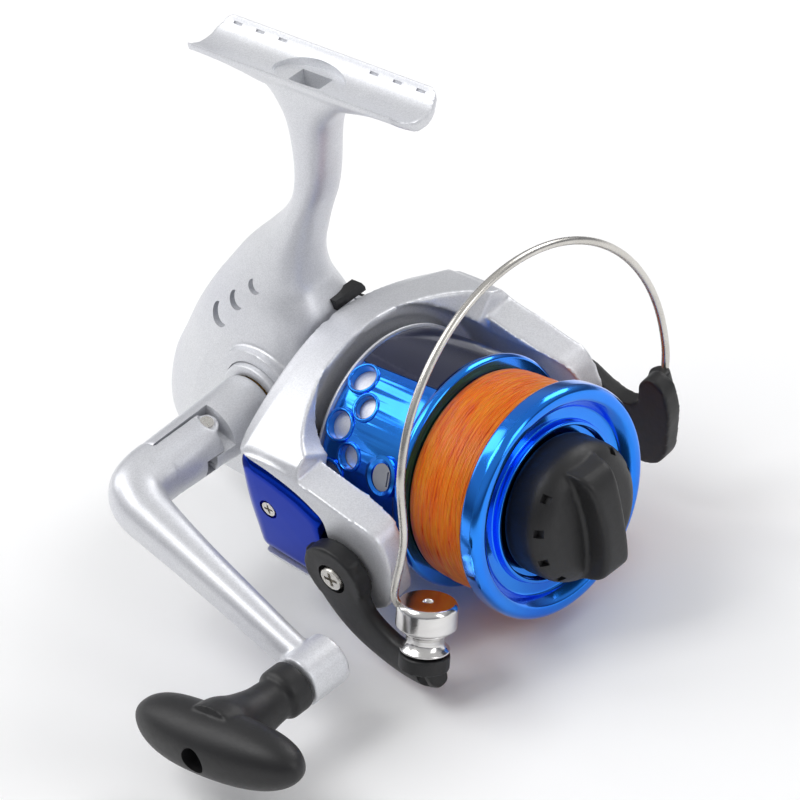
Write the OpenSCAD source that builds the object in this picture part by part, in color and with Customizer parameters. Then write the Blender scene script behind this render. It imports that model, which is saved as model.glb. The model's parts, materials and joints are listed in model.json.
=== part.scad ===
// Open-face spinning reel, built as an assembly of its separate pieces.
// X runs forward along the spool, Y to the left, Z up to the rod.
// The origin is on the centre line of the rod seat, over the middle of the foot.

/* [Foot] */
// Length of the foot, front to back
foot_len = 61; // [56:1:64]
// Width of the foot across the rod
foot_w = 13; // [12.6:0.1:13.4]
// Radius of the rod seat that the saddle fits
saddle_r = 7.9; // [7.6:0.1:8.1]
// Depth of the foot plate at its edges
foot_edge = 2.3; // [1.8:0.1:3]

/* [Body] */
// Height of the foot's edges above the spool axis
foot_height = 89; // [87:1:92]
// Half width of the gear case
case_half = 12.5; // [12.3:0.1:13]
// Wall of the gear case
case_wall = 2.2; // [1.8:0.1:2.4]

/* [Spool] */
// Radius of the front flange
flange_r = 25; // [24:0.2:25.4]
// Radius of the wound line
line_r = 22.4; // [18:0.2:23]
// Radius of the bare barrel
barrel_r = 17; // [15:0.5:17]

/* [Rotor] */
// Turn of the rotor about the spool axis
rotor_turn = 6; // [0:1:12]
// Distance of an arm's outer face from the axis
arm_out = 33.2; // [33:0.1:33.4]
// Thickness of a rotor arm
arm_thick = 5.2; // [4.6:0.1:5.4]

/* [Bail] */
// Radius of the wire's arch
arch_r = 39; // [38:0.5:40]
// Thickness of the wire
wire_d = 1.7; // [1.4:0.1:2]
// Radius of the polished cap over the line roller
roller_cap_r = 6.3; // [6:0.1:6.4]

/* [Handle] */
// Distance from the handle axis to the knob axis
crank_len = 57; // [54:1:58]
// Angle of the crank below the forward direction
crank_drop = 21; // [18:1:24]
// Length of the knob's cross bar
knob_len = 46; // [42:1:48]

/* [Hidden] */
$fn = 72;
axis_drop = foot_height + sqrt(saddle_r * saddle_r - foot_w * foot_w / 4);
gear_x = -20;
gear_z = 8;
osc_x = -33.5;
osc_z = 5;
osc_pin = 5;
pivot_x = 21;
pivot_z = -3;
roller_x = 43.5;
roller_y = -33;
roller_z = -3.2;
roller_tilt = -23;
arch_x = 46;
arch_y = 3.5;
arch_z = 15.7;
arch_near = 188;
arch_far = -17;
far_foot = [46, 38, -1];
fold_y = -29;
cover_screw_x = 1;
cover_screw_z = 4;
cover_screw_spots = [[-50, -10], [-14, -12], [-40, 16], [-11.4, 20]];

// Moves a piece drawn about the spool axis down to its place under the foot.
module on_axis() translate([0, 0, -axis_drop]) children();

// The same, for pieces that are drawn with the rotor's arms along Y.
module on_rotor() on_axis() rotate([rotor_turn, 0, 0]) children();

// Pieces drawn about the handle axis, with the crank along +X.
module on_handle() {
  on_axis() translate([gear_x, 0, gear_z]) rotate([0, crank_drop, 0]) children();
}

// Pieces drawn about the knob axis, with the bar along X.
module on_knob() on_handle() translate([crank_len, 0, 0]) rotate([0, -crank_drop - 5, 0]) children();

module rod_x(x0, x1, r) translate([x0, 0, 0]) rotate([0, 90, 0]) cylinder(h = x1 - x0, r = r);

module cone_x(x0, x1, r0, r1) {
  translate([x0, 0, 0]) rotate([0, 90, 0]) cylinder(h = x1 - x0, r1 = r0, r2 = r1);
}

module tube_x(x0, x1, ro, ri) {
  difference() {
    rod_x(x0, x1, ro);
    rod_x(x0 - 1, x1 + 1, ri);
  }
}

module rod_y(y0, y1, r) translate([0, y0, 0]) rotate([-90, 0, 0]) cylinder(h = y1 - y0, r = r);

module cone_y(y0, y1, r0, r1) {
  translate([0, y0, 0]) rotate([-90, 0, 0]) cylinder(h = y1 - y0, r1 = r0, r2 = r1);
}

// Extrudes an XZ outline along Y.
module slab(y0, y1) translate([0, y1, 0]) rotate([90, 0, 0]) linear_extrude(y1 - y0) children();

// A toothed disc about the Z axis.
module gear_disc(teeth, r, depth, h) {
  linear_extrude(h) polygon([
    for (i = [0 : teeth - 1])
      for (p = [[r - depth, -0.3], [r, -0.13], [r, 0.13], [r - depth, 0.3]])
        p[0] * [cos((i + p[1]) * 360 / teeth), sin((i + p[1]) * 360 / teeth)]
  ]);
}

// A cross-head screw with its head's top at z = 0, driven along -Z.
module cross_screw(head_r, head_h, shank_r, shank) {
  difference() {
    union() {
      translate([0, 0, -head_h]) cylinder(h = head_h, r1 = head_r, r2 = head_r * 0.86);
      translate([0, 0, -shank]) cylinder(h = shank, r = shank_r);
    }
    for (a = [0, 90]) rotate([0, 0, a])
      translate([-head_r * 0.6, -head_r * 0.13, -head_h * 0.6])
        cube([head_r * 1.2, head_r * 0.26, head_h]);
  }
}

// Side view of the gear case and stem.
module case_outline() {
  offset(r = 2.5) offset(delta = -2.5) polygon([
    [-7, -17], [-7, 27], [-10.5, 33], [-10, 38], [-6.5, 47], [-2, 56], [1.5, 65], [3.5, 75],
    [13, 84], [-14, 84], [-7.5, 76], [-7.5, 63], [-9.5, 57], [-14, 51.5], [-27, 39.5],
    [-37, 29], [-47, 16], [-54, 5], [-58.5, -6], [-59.5, -14], [-56, -19], [-48, -21], [-14, -21]
  ]);
}

// Front view of the gear case and stem, as half widths going up.
module case_front() {
  right = [
    [8, -21.5], [11, -18], [case_half, -11], [case_half, 14], [11.4, 22], [9, 30], [7, 38],
    [5.7, 48], [5.1, 60], [5.3, 72], [6.2, 84.6]
  ];
  polygon(concat(right, [for (i = [len(right) - 1 : -1 : 0]) [-right[i][0], right[i][1]]]));
}

module case_solid() {
  intersection() {
    slab(-20, 20) case_outline();
    translate([-70, 0, 0]) rotate([90, 0, 90]) linear_extrude(100) case_front();
  }
}

// Side view of the hollow inside the gear case.
module hollow_outline() {
  polygon([
    [-9.2, -14], [-9.2, 22.6], [-37.5, 22.6], [-45, 14], [-52, 3], [-56, -7],
    [-56, -14], [-52, -18.6], [-14, -18.6]
  ]);
}

module foot_solid() {
  half = foot_w / 2;
  edge_z = foot_height;
  intersection() {
    translate([-foot_len / 2, 0, 0]) rotate([90, 0, 90]) linear_extrude(foot_len)
      polygon([[-half, edge_z], [-half, edge_z - foot_edge], [-half + 3, edge_z - 6.2],
        [half - 3, edge_z - 6.2], [half, edge_z - foot_edge], [half, edge_z]]);
    slab(-half, half) polygon([
      [-foot_len / 2, edge_z], [-foot_len / 2, edge_z - 3.9], [-14, edge_z - 6.2],
      [14, edge_z - 6.2], [foot_len / 2, edge_z - 3.6], [foot_len / 2, edge_z]
    ]);
    translate([0, 0, edge_z - 10]) linear_extrude(12)
      offset(r = 3) offset(delta = -3) square([foot_len, foot_w], center = true);
  }
}

module body_housing() {
  color("silver") on_axis() difference() {
    union() {
      difference() {
        case_solid();
        difference() {
          slab(case_wall - case_half, 20) hollow_outline();
          for (p = cover_screw_spots) translate([p[0], 0, p[1]]) rod_y(-20, case_half - 2.4, 2.6);
        }
      }
      foot_solid();
      rod_x(-9.1, -3.6, 12.5);
      translate([gear_x, 0, gear_z]) rod_y(-13.9, -12, 11.6);
      translate([gear_x, 0, gear_z]) rod_y(-14.9, -13.5, 9.2);
      translate([0, 9, -13.8]) rod_x(-8, 0.2, 1.1);
      for (x = [-45, -21.4]) translate([x, 0, -7.2]) slider_post();
    }
    rod_x(-12, 0, 7.52);
    translate([gear_x, 0, gear_z]) rod_y(-20, 0, 6.05);
    translate([0, 7, -16.6]) rod_x(-70, 0, 1.3);
    translate([0, 0, axis_drop]) rod_x(-40, 40, saddle_r);
    translate([-5, -2.4, foot_height - 8]) cube([8.4, 4.8, 12]);
    translate([-9.5, 0.6, 26.5]) cube([4, 8.8, 2.6]);
    for (p = cover_screw_spots) translate([p[0], 0, p[1]]) rod_y(1, 20, 0.9);
    for (a = [90, 210, 330]) rotate([a, 0, 0]) translate([0, 0, 10]) rod_x(-8.8, 0, 0.75);
    for (s = [[-33, 28.5, 1.9], [-38.2, 23, 2.3], [-43, 17, 2.7]])
      translate([s[0] + 13, -13, s[1] + 5]) rotate([0, 40, 0]) dimple(s[2]);
    for (i = [-3 : 3], side = [-1, 1]) translate([i * 8 + 1, side * (foot_w / 2 - 0.9), foot_height])
      cube([2.4, 0.5, 0.9], center = true);
  }
}

// A crescent dimple in the stem's side.
module dimple(r) {
  difference() {
    rod_y(2.5, 7.2, r);
    translate([r * 0.7, 0, r * 0.4]) rod_y(2, 8, r);
  }
}

// A post that carries one end of the slider's guide rod.
module slider_post() {
  translate([-1.2, -case_half + case_wall - 1, -2.2]) cube([2.4, case_half - case_wall + 3, 4.4]);
}

// The case narrows upward, so the screws near its top sit deeper.
function screw_sink(z) = max(0, z - 14) * 0.09;

module trip_ramp() {
  color("dimgray") on_axis() translate([-9.4, 0.7, 26.6]) difference() {
    cube([2.8, 8.6, 2.2]);
    translate([-1, 8.6, 0.9]) rotate([30, 0, 0]) cube([6, 6, 6]);
  }
}

module side_cover() {
  color("silver") on_axis() difference() {
    union() {
      intersection() {
        case_solid();
        slab(case_half - 2.3, 20) offset(delta = -0.12) hollow_outline();
      }
      translate([gear_x, 0, gear_z]) rod_y(case_half - 2.3, 14.3, 9.5);
      translate([osc_x, 0, osc_z]) rod_y(8.3, case_half - 2, 3.2);
    }
    translate([osc_x, 0, osc_z]) rod_y(0, 11.2, 1.55);
    translate([gear_x, 0, gear_z]) rod_y(0, 20, 6.05);
    for (p = cover_screw_spots) translate([p[0], 0, p[1]]) {
      rod_y(0, 20, 1.05);
      rod_y(case_half - 1.15 - screw_sink(p[1]), 20, 2.1);
    }
  }
}

module side_cover_screws() {
  color("silver") on_axis() for (p = cover_screw_spots)
    translate([p[0], case_half - 0.2 - screw_sink(p[1]), p[1]]) rotate([-90, 0, 0])
      cross_screw(1.95, 0.9, 0.85, 8);
}

module pinion_bearing() {
  color("silver") on_axis() {
    tube_x(-8, -3.6, 7.5, 5.9);
    tube_x(-8, -3.6, 4.9, 3.66);
    for (i = [0 : 8]) rotate([i * 40, 0, 0]) translate([-5.8, 0, 5.4]) sphere(r = 1.05, $fn = 24);
  }
}

module bearing_retainer() {
  color("silver") on_axis() difference() {
    tube_x(-3.55, -2.7, 12, 6);
    for (a = [90, 210, 330]) rotate([a, 0, 0]) translate([0, 0, 10]) rod_x(-5, 0, 0.85);
  }
}

module retainer_screws() {
  color("silver") on_axis() for (a = [90, 210, 330]) rotate([a, 0, 0])
    translate([-2.0, 0, 10]) rotate([0, 90, 0]) cross_screw(1.5, 0.65, 0.7, 5);
}

module gear_bush_right() {
  color("goldenrod") on_axis() translate([gear_x, 0, gear_z]) difference() {
    rod_y(-14.8, -9.2, 6);
    rod_y(-20, 0, 3.55);
  }
}

module gear_bush_left() {
  color("goldenrod") on_axis() translate([gear_x, 0, gear_z]) difference() {
    rod_y(9.2, 14.2, 6);
    rod_y(0, 20, 3.55);
  }
}

module slider_guide() {
  color("silver") on_axis() translate([0, 0, -7.2]) rod_x(-43.7, -22.7, 1);
}

module anti_reverse_lever() {
  color("dimgray") on_axis() translate([0, 7, -16.6]) {
    rod_x(-62, -2.2, 1.2);
    rod_x(-64.5, -60.6, 2.6);
    difference() {
      translate([-64.5, -2, -9]) cube([2.6, 4, 9]);
      for (i = [0 : 3]) translate([-64.9, -3, -8.3 + i * 1.4]) cube([0.8, 6, 0.5]);
    }
    rod_x(-2.2, -0.4, 1.2);
    translate([-1.8, -0.7, -2.8]) cube([1.4, 1.4, 2.8]);
  }
}

module anti_reverse_pawl() {
  color("silver") on_axis() translate([0, 9, -13.8]) difference() {
    union() {
      rod_x(-1.9, -0.1, 1.9);
      rotate([-12, 0, 0]) translate([-1.8, -7.6, 0.3]) cube([1.6, 7.4, 1.5]);
    }
    rod_x(-5, 5, 1.15);
  }
}

module drive_gear() {
  color("lightgray") on_axis() translate([gear_x, 0, gear_z]) {
    difference() {
      union() {
        rod_y(-15, 14.4, 3.5);
        rod_y(-7.6, -5.6, 10.2);
        rod_y(-8.6, -7.5, 4.8);
        for (i = [0 : 43]) rotate([0, i * 360 / 44, 0])
          translate([8.2, -5.9, -0.42]) cube([1.9, 1.3, 0.84]);
      }
      rod_y(-30, 20, 2.15);
      for (i = [0 : 4]) rotate([0, i * 72, 0]) translate([6.6, 0, 0]) rod_y(-8, -5, 1.1);
    }
    translate([0, 7.8, 0]) rotate([90, 0, 0]) difference() {
      gear_disc(14, 5.2, 1, 2.2);
      translate([0, 0, -1]) cylinder(h = 5, r = 3.5);
    }
  }
}

module handle_cap() {
  color("dimgray") on_axis() translate([gear_x, 0, gear_z]) {
    difference() {
      union() {
        rod_y(14.7, 20.2, 6.4);
        cone_y(20.2, 21.4, 6.4, 5);
      }
      for (i = [0 : 17]) rotate([0, i * 20, 0]) translate([6.5, 0, 0]) rod_y(15.6, 20, 0.45);
      rod_y(20.6, 22, 2.6);
    }
    rod_y(-21, 14.8, 2.1);
  }
}

module handle_shaft() {
  color("silver") on_handle() difference() {
    cone_y(-43, -15.3, 6.4, 7.3);
    for (z = [-10, 2]) translate([-2.6, -44, z]) cube([12, 16.8, 8]);
    translate([-2.6, -44, -10]) cube([12, 11.5, 20]);
    rod_y(-22, 0, 2.15);
    translate([0.6, fold_y - 1.2, 0]) cylinder(h = 20, r = 1.55, center = true);
  }
}

module handle_fold_pin() {
  color("silver") on_handle() translate([0.6, fold_y - 1.2, -6.2]) cylinder(h = 12.4, r = 1.5);
}

// The fork end of the arm and the bend that follows it.
module arm_root() {
  difference() {
    union() {
      intersection() {
        cone_y(-46, -28, 6.3, 6.8);
        translate([-2.2, -46, -8]) cube([12, 46 + fold_y - 1.2, 16]);
      }
      translate([0.6, fold_y - 1.2, -5.6]) cylinder(h = 11.2, r = 2.6);
      cone_y(-50, -43.3, 6.1, 6.3);
      translate([0, -50, 0]) sphere(r = 6.1);
    }
    translate([-4, fold_y - 6.2, -2.3]) cube([14, 14, 4.6]);
    translate([0.6, fold_y - 1.2, 0]) cylinder(h = 20, r = 1.55, center = true);
  }
}

module handle_arm() {
  color("silver") on_handle() difference() {
    union() {
      arm_root();
      hull() {
        translate([0.5, -50, 0]) sphere(r = 5.6, $fn = 32);
        translate([22, -53.5, 0]) rotate([0, 90, 0]) cylinder(h = 1, r = 4.2, $fn = 32);
      }
      hull() {
        translate([22, -53.5, 0]) rotate([0, 90, 0]) cylinder(h = 1, r = 4.2, $fn = 32);
        translate([crank_len - 3, -56, 0]) rotate([0, 90, 0]) cylinder(h = 1, r = 3.2, $fn = 32);
      }
      translate([crank_len, 0, 0]) rod_y(-61.5, -51.5, 5.6);
    }
    translate([crank_len, 0, 0]) rod_y(-70, -40, 2.05);
  }
}

module knob_spindle() {
  color("lightgray") on_handle() translate([crank_len, 0, 0]) {
    rod_y(-84, -51, 2);
    rod_y(-51.2, -50.4, 3.2);
  }
}

module handle_knob() {
  color("dimgray") on_knob() difference() {
    union() {
      rod_y(-66.5, -61.9, 5.6);
      cone_y(-76, -66, 7.2, 4.4);
      hull() {
        translate([-knob_len / 2 + 7, -84.5, 0]) sphere(r = 7, $fn = 32);
        translate([knob_len / 2 - 7, -84.5, 0]) sphere(r = 7, $fn = 32);
        translate([-8, -80, 0]) sphere(r = 8, $fn = 32);
        translate([8, -80, 0]) sphere(r = 8, $fn = 32);
      }
    }
    rod_y(-84.4, 0, 2.07);
    rod_y(-100, -84.6, 2.9);
    rod_y(-84.7, -84, 2.07);
  }
}

module knob_screw() {
  color("silver") on_knob() translate([0, -86.6, 0]) rotate([90, 0, 0])
    cross_screw(2.5, 1.4, 1.2, 2.2);
}

module oscillation_gear() {
  color("whitesmoke") on_axis() translate([osc_x, 0, osc_z]) {
    translate([0, 7.8, 0]) rotate([90, 0, 0]) gear_disc(24, 8.2, 1, 2.2);
    rod_y(7.7, 11, 1.5);
    translate([-osc_pin, 0, 0]) rod_y(3.9, 5.7, 1.3);
  }
}

module main_shaft() {
  color("lightgray") on_axis() difference() {
    rod_x(-43, 62.5, 2);
    translate([-40.5, 0, 1.2]) cube([7, 6, 1.7], center = true);
  }
}

module oscillation_slider() {
  color("whitesmoke") on_axis() difference() {
    union() {
      translate([-43, -2.9, -9.6]) cube([9, 5.6, 14.3]);
      translate([-43, 1.6, -3.5]) cube([9, 1.9, 16]);
    }
    rod_x(-50, -30, 2.03);
    translate([0, 0, -7.2]) rod_x(-50, -20, 1.06);
    translate([-40.1, 2, -1.6]) cube([3.2, 3, 13.2]);
    translate([-38.5, 0, 0]) cylinder(h = 20, r = 1.3);
  }
}

module slider_screw() {
  color("silver") on_axis() translate([-38.5, 0, 5.7]) cross_screw(1.5, 1, 1.25, 4.3);
}

module spool_click_gear() {
  color("whitesmoke") on_axis() translate([19.4, 0, 0]) rotate([0, 90, 0]) difference() {
    gear_disc(30, 9.4, 0.9, 1.8);
    translate([0, 0, -1]) cylinder(h = 5, r = 2.03);
  }
}

module pinion_gear() {
  color("goldenrod") on_axis() difference() {
    union() {
      translate([-16.4, 0, 0]) rotate([0, 90, 0]) gear_disc(9, 4.2, 1.1, 7.4);
      rod_x(-9.2, 6.2, 3.6);
    }
    rod_x(-20, 20, 2.06);
  }
}

module ratchet_wheel() {
  color("silver") on_axis() translate([-1.7, 0, 0]) rotate([0, 90, 0]) difference() {
    linear_extrude(1.7) polygon([
      for (i = [0 : 19])
        for (p = [[7.6, -0.36], [9.3, 0.16], [9.3, 0.28], [7.6, 0.36]])
          p[0] * [cos((i + p[1]) * 18), sin((i + p[1]) * 18)]
    ]);
    translate([0, 0, -1]) cylinder(h = 5, r = 3.63);
  }
}

// Side view of one rotor arm.
module arm_outline() {
  offset(r = 5) offset(delta = -5) polygon([
    [-6.2, -15], [-6.2, 20], [6, 19.5], [20, 13.5], [33.5, 9], [34.5, -3], [30, -13], [8, -14.5]
  ]);
}

// A rotor arm on the -Y side.
module rotor_arm() {
  slab(-arm_out, arm_thick - arm_out) arm_outline();
}

module rotor() {
  color("silver") on_rotor() difference() {
    union() {
      tube_x(-6.2, 3.2, 27.4, 24.8);
      tube_x(0.6, 3.2, 25.2, 3.65);
      intersection() {
        union() {
          rotor_arm();
          mirror([0, 1, 0]) rotor_arm();
          for (s = [-1, 1]) slab(s * 26 - 4, s * 26 + 4) square([12.4, 30], center = true);
        }
        rod_x(-6.2, 40, 36);
      }
    }
    rod_x(-20, 0.6, 24.8);
    rod_x(3.2, 40, 27.7);
    for (s = [-1, 1]) {
      slab(s * 33.4 - 2, s * 33.4 + 2) cover_outline(0);
      translate([pivot_x, 0, pivot_z]) rod_y(s * 31 - 4, s * 31 + 4, 1.6);
      translate([cover_screw_x, 0, cover_screw_z]) rod_y(s * 30 - 6, s * 30 + 6, 0.95);
    }
    translate([10, 0, 2]) rod_y(-31.5, -29.2, 3.4);
    for (a = [60, 120, 240, 300]) rotate([a, 0, 0]) translate([0, 16, 0]) rod_x(-2, 6, 3.2);
  }
}

// Side view of the coloured cover on an arm's root, grown by g.
module cover_outline(g) {
  offset(delta = g) polygon([
    [-6.9, -11], [-6.9, 14.5], [-3, 17.2], [4, 15.6], [12, 12.2], [17.4, 7.6], [17.4, -11.8]
  ]);
}

module arm_cover(s) {
  difference() {
    union() {
      slab(s * 32.3 - 0.8, s * 32.3 + 0.8) cover_outline(-0.15);
      slab(s * 33 - 0.4, s * 33 + 0.4) cover_outline(-0.9);
    }
    translate([cover_screw_x, 0, cover_screw_z]) {
      rod_y(s * 32 - 3, s * 32 + 3, 1.05);
      rod_y(s * 33.5 - 1, s * 33.5 + 1, 2.15);
    }
  }
}

module near_arm_cover() {
  color("royalblue") on_rotor() arm_cover(-1);
}

module far_arm_cover() {
  color("royalblue") on_rotor() arm_cover(1);
}

module cover_screws() {
  color("silver") on_rotor() for (s = [-1, 1]) translate([cover_screw_x, s * 33.4, cover_screw_z])
    rotate([-s * 90, 0, 0]) cross_screw(2, 0.85, 0.85, 6);
}

module bail_spring() {
  color("gray") on_rotor() translate([10, -30.6, 2]) rotate([90, 0, 0])
    for (i = [0 : 2]) translate([0, 0, -1.1 + i * 0.62]) rotate_extrude()
      translate([2.6, 0, 0]) circle(r = 0.3, $fn = 16);
}

module bail_pivot_screws() {
  color("silver") on_rotor() for (s = [-1, 1])
    translate([pivot_x, s * 38.2, pivot_z]) rotate([-s * 90, 0, 0]) cross_screw(3, 1.3, 1.55, 10);
}

// Side view of the curved arm that carries the line roller.
module bail_arm_outline() {
  hull() {
    translate([pivot_x, pivot_z]) circle(r = 7.6);
    translate([pivot_x + 1, pivot_z - 6]) circle(r = 6.4);
  }
  hull() {
    translate([pivot_x + 1, pivot_z - 6]) circle(r = 6.4);
    translate([roller_x - 9, -17.5]) circle(r = 4.6);
  }
  hull() {
    translate([roller_x - 9, -17.5]) circle(r = 4.6);
    translate([roller_x + 2.5, -17]) circle(r = 4.2);
  }
}

module roller_place() {
  translate([roller_x, roller_y, roller_z]) rotate([roller_tilt, 0, 0]) children();
}

module bail_arm() {
  color("dimgray") on_rotor() difference() {
    union() {
      slab(-37.8, -33.8) bail_arm_outline();
      roller_place() translate([0, 0, -14.6]) cylinder(h = 3.4, r = 5.2);
    }
    translate([pivot_x, 0, pivot_z]) {
      rod_y(-40, -30, 1.6);
      rod_y(-40, -36.5, 3.35);
    }
    roller_place() {
      translate([0, 0, -16]) cylinder(h = 8, r = 1.55);
      translate([0, 0, -11.2]) cylinder(h = 16, r = 7);
    }
  }
}

module bail_holder() {
  color("dimgray") on_rotor() difference() {
    union() {
      slab(33.8, 37.8) {
        hull() {
          translate([pivot_x, pivot_z]) circle(r = 7.6);
          translate([40, -13]) circle(r = 7);
        }
        hull() {
          translate([40, -13]) circle(r = 7);
          translate([arch_x + 1, 2]) circle(r = 4);
        }
      }
      translate([arch_x, 38, 1]) sphere(r = 3.1);
    }
    translate([pivot_x, 0, pivot_z]) {
      rod_y(30, 45, 1.6);
      rod_y(36.5, 45, 3.35);
    }
    wire_run(far_foot, arch_point(arch_far), wire_d / 2 + 0.06);
  }
}

function arch_point(a) = [arch_x, arch_y + arch_r * cos(a), arch_z + arch_r * sin(a)];

// A straight length of wire between two points.
wire_bend = [arch_x - 5.5, -38.6, 1.6];
wire_root = [roller_x - 4.2, roller_y - 3.2, roller_z - 2.6];

module wire_run(a, b, r) {
  d = b - a;
  len_d = norm(d);
  translate(a) rotate([0, acos(d[2] / len_d), atan2(d[1], d[0])]) cylinder(h = len_d, r = r);
}

module bail_wire() {
  near_end = arch_point(arch_near);
  far_end = arch_point(arch_far);
  r = wire_d / 2;
  color("silver") on_rotor() {
    translate([arch_x, arch_y, arch_z]) rotate([90, 0, 90]) rotate([0, 0, arch_far])
      rotate_extrude(angle = arch_near - arch_far)
        translate([arch_r, 0, 0]) circle(r = r);
    wire_run(far_end, far_foot, r);
    wire_run(near_end, wire_bend, r);
    wire_run(wire_bend, wire_root, r);
    for (p = [far_end, near_end, wire_bend, wire_root]) translate(p) sphere(r = r + 0.03);
  }
}

module roller_cap() {
  color("lightgray") on_rotor() difference() {
    roller_place() difference() {
      union() {
        translate([0, 0, -5.6]) cylinder(h = 5.1, r = roller_cap_r);
        translate([0, 0, -0.6]) cylinder(h = 0.6, r1 = roller_cap_r, r2 = roller_cap_r - 0.6);
        translate([0, 0, -15.4]) cylinder(h = 10, r = 1.5);
      }
      translate([0, 0, -0.5]) cylinder(h = 1, r = 0.9);
    }
    wire_run(wire_bend, wire_root, wire_d / 2 + 0.08);
    translate(wire_root) sphere(r = wire_d / 2 + 0.12);
  }
}

module line_roller() {
  color("silver") on_rotor() roller_place() rotate_extrude() polygon([
    [2.55, -10.9], [5, -10.9], [5.2, -10.5], [4.2, -9.6], [3.8, -8.6], [4, -7.4], [4.9, -6.2],
    [4.9, -5.95], [2.55, -5.95]
  ]);
}

module roller_bush() {
  color("ivory") on_rotor() roller_place() translate([0, 0, -11]) difference() {
    cylinder(h = 5.3, r = 2.5);
    translate([0, 0, -1]) cylinder(h = 8, r = 1.52);
  }
}

// Half section of the spool, as radius and place along the axis.
module spool_section() {
  polygon([
    [2.06, 33], [14.5, 33], [14.5, 28.4], [22.9, 28.4], [22.2, 6.5], [23.6, 6.5], [24.2, 28.6],
    [flange_r - 0.3, 28.6], [flange_r, 28.9], [flange_r, 29.9], [flange_r - 0.3, 30.2],
    [barrel_r, 30.2], [barrel_r, 46.6], [flange_r - 0.4, 46.6], [flange_r, 47],
    [flange_r, 50.7], [flange_r - 0.9, 51.6], [21.6, 51.6], [20, 48.9], [17.4, 48.9],
    [17.2, 50.6], [16.4, 50.6], [16.2, 48.8], [13.2, 48.8], [13.2, 40.5], [2.06, 40.5]
  ]);
}

module spool() {
  color("dodgerblue") on_axis() difference() {
    rotate([0, 90, 0]) rotate_extrude() spool_section();
    for (i = [0 : 9]) rotate([i * 25.7 + 24, 0, 0]) translate([9.4, 0, 20]) cylinder(h = 6, r = 2.5);
    for (i = [0 : 8]) rotate([i * 25.7 + 37, 0, 0]) translate([13.9, 0, 20]) cylinder(h = 6, r = 2);
  }
}

module line() {
  color("darkorange") on_axis() translate([30.3, 0, 0]) rotate([0, 90, 0]) rotate_extrude() polygon([
    [barrel_r + 0.05, 0], [line_r - 0.5, 0], [line_r, 1], [line_r + 0.2, 4], [line_r + 0.3, 8],
    [line_r + 0.2, 12], [line_r, 15.2], [line_r - 0.5, 16.2], [barrel_r + 0.05, 16.2]
  ]);
}

// The dark decorative band let into the skirt.
module spool_band() {
  color("midnightblue") on_axis() intersection() {
    difference() {
      cone_x(6.8, 27.6, 23.84, 24.4);
      cone_x(6, 28.6, 23.63, 24.24);
    }
    rotate([42, 0, 0]) cube([40, 40, 40]);
    rotate([15, 0, 0]) cube([40, 40, 40]);
  }
}

module line_clip() {
  color("gray") on_axis() rotate([155, 0, 0]) difference() {
    intersection() {
      tube_x(21.6, 27.6, 25.2, 24.3);
      translate([20, 0, -3]) cube([8, 30, 6]);
    }
    translate([23.2, 20, -1.6]) cube([2.8, 10, 3.2]);
  }
}

module drag_washers() {
  color("tan") on_axis() for (i = [0 : 4]) tube_x(41 + i * 1.25, 42.1 + i * 1.25, 12.6, 2.35);
}

module drag_retainer() {
  color("gray") on_axis() difference() {
    tube_x(47.4, 48.2, 13.1, 11.4);
    translate([45, 10, -1]) cube([5, 5, 2]);
  }
}

module drag_spring() {
  color("silver") on_axis() for (i = [0 : 3]) translate([48.9 + i * 1.1, 0, 0]) rotate([0, 90, 0])
    rotate_extrude() translate([3.9, 0, 0]) circle(r = 0.45, $fn = 16);
}

module drag_knob() {
  color("dimgray") on_axis() difference() {
    union() {
      rod_x(49.4, 57, 15);
      cone_x(57, 60.2, 15, 12.5);
      intersection() {
        cone_x(57, 67, 15, 12.6);
        translate([50, -4.2, -16]) cube([17, 8.4, 32]);
      }
    }
    rod_x(48, 64, 2.06);
    rod_x(48, 54.6, 5.2);
    for (i = [0 : 11]) rotate([i * 30 + 15, 0, 0]) translate([58.6, -0.8, 13.4]) cube([3, 1.6, 3]);
  }
}

module trip_lever() {
  color("dimgray") on_rotor() rotate([-32, 0, 0]) difference() {
    intersection() {
      tube_x(3.3, 5.4, 24.6, 17.6);
      translate([0, -30, -2.6]) cube([10, 30, 5.2]);
    }
    translate([0, -19.6, 0]) rod_x(0, 10, 1);
  }
}

module rotor_nut() {
  color("silver") on_axis() translate([3.3, 0, 0]) rotate([0, 90, 0]) difference() {
    cylinder(h = 2.7, r = 6.2, $fn = 6);
    translate([0, 0, -1]) cylinder(h = 5, r = 3.63);
  }
}

body_housing();
side_cover();
side_cover_screws();
pinion_bearing();
bearing_retainer();
retainer_screws();
gear_bush_right();
gear_bush_left();
slider_guide();
trip_ramp();
anti_reverse_lever();
anti_reverse_pawl();
drive_gear();
handle_cap();
handle_shaft();
handle_fold_pin();
handle_arm();
knob_spindle();
handle_knob();
knob_screw();
oscillation_gear();
main_shaft();
oscillation_slider();
slider_screw();
spool_click_gear();
pinion_gear();
ratchet_wheel();
rotor();
rotor_nut();
trip_lever();
near_arm_cover();
far_arm_cover();
cover_screws();
bail_spring();
bail_pivot_screws();
bail_arm();
bail_holder();
bail_wire();
roller_cap();
line_roller();
roller_bush();
spool();
line();
spool_band();
line_clip();
drag_washers();
drag_retainer();
drag_knob();
drag_spring();
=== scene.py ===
import json
import math

import bmesh
import bpy
from mathutils import Matrix, Vector


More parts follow.
